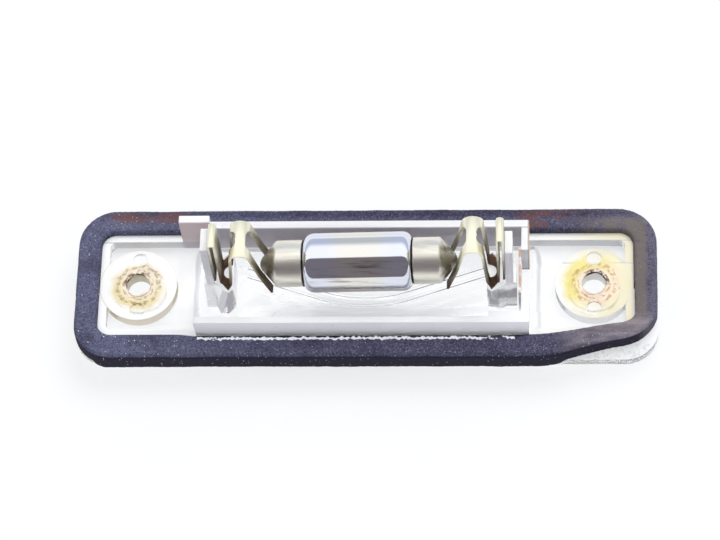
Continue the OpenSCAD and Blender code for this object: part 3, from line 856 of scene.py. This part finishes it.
def makeGlass():
    s = glassLook
    half = [(r * mm, h * mm) for r, h in s["outer"]]
    outer = turned("bulbGlass", half + [(r, -h) for r, h in half[-2::-1]], s["sides"], filled=True)
    wall = s["wall"] * mm
    inner = [(r * mm, h * mm) for r, h in s["innerEnd"]]
    inner += [(r - wall, h - wall * 0.6) for r, h in half if h < 9.9 * mm and r > 4.3 * mm]
    inside = turned("bulbInside", inner + [(r, -h) for r, h in inner[-2::-1]], s["sides"], filled=True)
    startEdit(inside)
    bpy.ops.mesh.select_all(action="SELECT")
    bpy.ops.mesh.flip_normals()
    endEdit()
    makeActive(outer)
    inside.select_set(True)
    bpy.ops.object.join()
    settle(outer, bulbPlace)
    smoothByAngle(outer, 45)
    handOver(outer, "bulb_glass", glassFinish(), "bulb_glass")


insideLook = {
    "lead": ("leadWire", hexColour("9a9184"), 0.3),
    "solder": ("solder", hexColour("a5a49e"), 0.4),
    "filament": ("filamentWire", hexColour("6e6a68"), 0.45),
    "cement": hexColour("8d8574"),
    "cementDark": hexColour("554c3f"),
}


def wireFinish(name, colour, roughness):
    material, b = startFinish(name)
    spots = b.clouds(0.4 * mm, 3.0)
    shaded = b.blend(spots.rise(0.45, 0.7) * 0.5, colour, tuple(c * 0.4 for c in colour))
    b.end(b.principled(
        Base_Color=shaded, Metallic=1.0, Roughness=spots * 0.3 + roughness, Normal=b.bump(spots, 0.02 * mm, 0.5),
    ))
    return material


def cementFinish():
    material, b = startFinish("bulbCement")
    grain = b.clouds(0.5 * mm, 4.0, 0.7)
    colour = b.blend(grain.rise(0.35, 0.65), insideLook["cement"], insideLook["cementDark"])
    b.end(b.principled(Base_Color=colour, Roughness=0.9, Normal=b.bump(grain, 0.1 * mm, 0.8)))
    return material


def dressInside():
    for node in ("lead", "solder"):
        finish = wireFinish(*insideLook[node])
        for side in ("left", "right"):
            dress(node + "_" + side, finish)
    cement = cementFinish()
    for side in ("left", "right"):
        dress("cement_" + side, cement)
    dress("filament", wireFinish(*insideLook["filament"]))


# Cracked, rusty crust round the screw holes

crustLook = {
    "left": {"x": -tray["bossX"], "seed": 3.0, "tube": 0.12 * mm, "towardsDark": (-0.6, 0.8)},
    "right": {"x": tray["bossX"], "seed": 8.0, "tube": 0.13 * mm, "towardsDark": (0.45, 0.9)},
    "sunk": 0.03 * mm,
    "sand": hexColour("e2d2b4"),
    "brown": hexColour("9a7e48"),
    "dark": hexColour("3a2a1a"),
}


def crustFinish(side):
    s = crustLook
    material, b = startFinish("holeCrust_" + side)
    x, y, z = b.axes()
    across, along = s[side]["towardsDark"]
    turn = ((x - s[side]["x"]) * across + y * along) / tray["holeRadius"]
    grain = b.clouds(0.5 * mm, 4.0, 0.65)
    worst = (turn + (b.clouds(1.2 * mm, 3.0) - 0.5) * 1.2).rise(0.1, 0.7)
    colour = b.blend((grain + worst * 0.3).rise(0.5, 0.72), s["sand"], s["brown"])
    colour = b.blend(worst * b.clouds(0.9 * mm, 3.0).rise(0.4, 0.52), colour, s["dark"])
    b.end(b.principled(Base_Color=colour, Roughness=0.75, Normal=b.bump(grain, 0.1 * mm, 0.7)))
    return material


def makeCrusts():
    for side in ("left", "right"):
        s = crustLook[side]
        centre = Vector((s["x"], 0, tray["bossTop"] - crustLook["sunk"]))
        deselectAll()
        bpy.ops.mesh.primitive_torus_add(
            major_segments=120, minor_segments=10, major_radius=tray["holeRadius"] + 0.02 * mm,
            minor_radius=s["tube"], location=centre,
        )
        piece = bpy.context.object
        piece.name = "holeCrust_" + side
        bpy.ops.object.transform_apply(location=True, rotation=True, scale=True)
        for vert in piece.data.vertices:
            away = vert.co - centre
            spot = Vector((away.x, away.y, 0)).normalized() * tray["holeRadius"]
            fat = 1 + 1.3 * noise.noise((spot.x * 700, spot.y * 700, s["seed"]))
            rough = 0.35 * noise.noise(vert.co * 2600)
            tube = vert.co - (centre + spot)
            vert.co = centre + spot * (1 + 0.09 * noise.noise((spot.x * 450, spot.y * 450, s["seed"] + 5)))
            vert.co += tube * max(0.25, fat + rough)
        smoothByAngle(piece, 50)
        handOver(piece, "lens_plastic", crustFinish(side))


# Floor, world and lamp

stageLook = {
    "size": 3.0,
    "drop": -0.02 * mm,
    "floor": hexColour("f1f3fa"),
    "lift": 0.74,  # how far the paper goes to white for the camera
    "glassLift": 0.93,  # and in metal and glass
}
lightLook = {
    "world": (0.776, 0.788, 0.8),
    "lampPower": 5.5,
    "lampSize": 0.7,
    "lampPlace": Vector((0.25, 0.5, 0.75)),
    "frontFrom": math.radians(8),
    "backFrom": math.radians(-34),
    "front": hexColour("7e787e"),
    "above": (1.25, 1.25, 1.25),
    "behind": hexColour("cdd4e0"),
    "frontShade": 0.06,
}


def makeFloor():
    deselectAll()
    bpy.ops.mesh.primitive_plane_add(size=stageLook["size"], location=(0, 0, stageLook["drop"]))
    floor = bpy.context.object
    floor.name = "tableTop"
    material, b = startFinish("paperFloor")
    paper = b.node("BsdfDiffuse", {}, {"Color": stageLook["floor"]})
    glow = b.node("Emission", {}, {"Color": (1, 1, 1), "Strength": 1.0})
    camera = b.node("LightPath", out="Is Camera Ray")
    inGlass = camera.sibling("Is Glossy Ray").most(camera.sibling("Is Transmission Ray"))
    lift = (camera * stageLook["lift"]).most(inGlass * stageLook["glassLift"])
    b.end(b.node("MixShader", {}, {0: lift, 1: paper, 2: glow}))
    floor.data.materials.append(material)


def makeWorld():
    # Metal and glass see a bright window above, a pale room behind and a dark room in front
    s = lightLook
    world = bpy.data.worlds.new("studio")
    bpy.context.scene.world = world
    world.use_nodes = True
    b = Bench(world.node_tree)
    y = b.node("SeparateXYZ", {}, {0: b.node("TexCoord", out="Generated")}, "Y")
    z = y.sibling("Z")
    turn = (y * -1).maths("ARCTAN2", z)
    front = turn.rise(s["frontFrom"] - 0.03, s["frontFrom"] + 0.05) * z.rise(-0.12, -0.02)
    behind = turn.rise(s["backFrom"], s["backFrom"] - 0.45) * turn.rise(-1.6, -1.36)
    camera = b.node("LightPath", out="Is Camera Ray")
    reflected = b.paint(s["above"], (behind, s["behind"]), (front, s["front"]))
    plain = b.blend(front * s["frontShade"], s["world"], (0, 0, 0))
    colour = b.paint(plain, (camera.sibling("Is Glossy Ray"), reflected), (camera, (1, 1, 1)))
    b.end(b.node("Background", {}, {"Color": colour, "Strength": 1.0}), "OutputWorld")


def makeLamp():
    bpy.ops.object.light_add(type="AREA", location=lightLook["lampPlace"])
    lamp = bpy.context.object
    lamp.name = "softLamp"
    lamp.data.shape = "DISK"
    lamp.data.size = lightLook["lampSize"]
    lamp.data.energy = lightLook["lampPower"]
    lamp.visible_glossy = False
    lamp.rotation_euler = (-lightLook["lampPlace"]).to_track_quat("-Z", "Y").to_euler()


bpy.context.scene.view_settings.view_transform = "Standard"
makeCamera()
print("camera placed")
makeWorld()
makeLamp()
makeFloor()
print("studio ready")
makeLens()
print("lens made")
gasketPiece = makeGasket()
print("gasket made")
makeFrays(gasketPiece)
print("torn skin made")
makeClips()
print("clips made")
makeCaps()
makeGlass()
dressInside()
print("bulb made")
makeCrusts()
print("crusts made")

deselectAll()
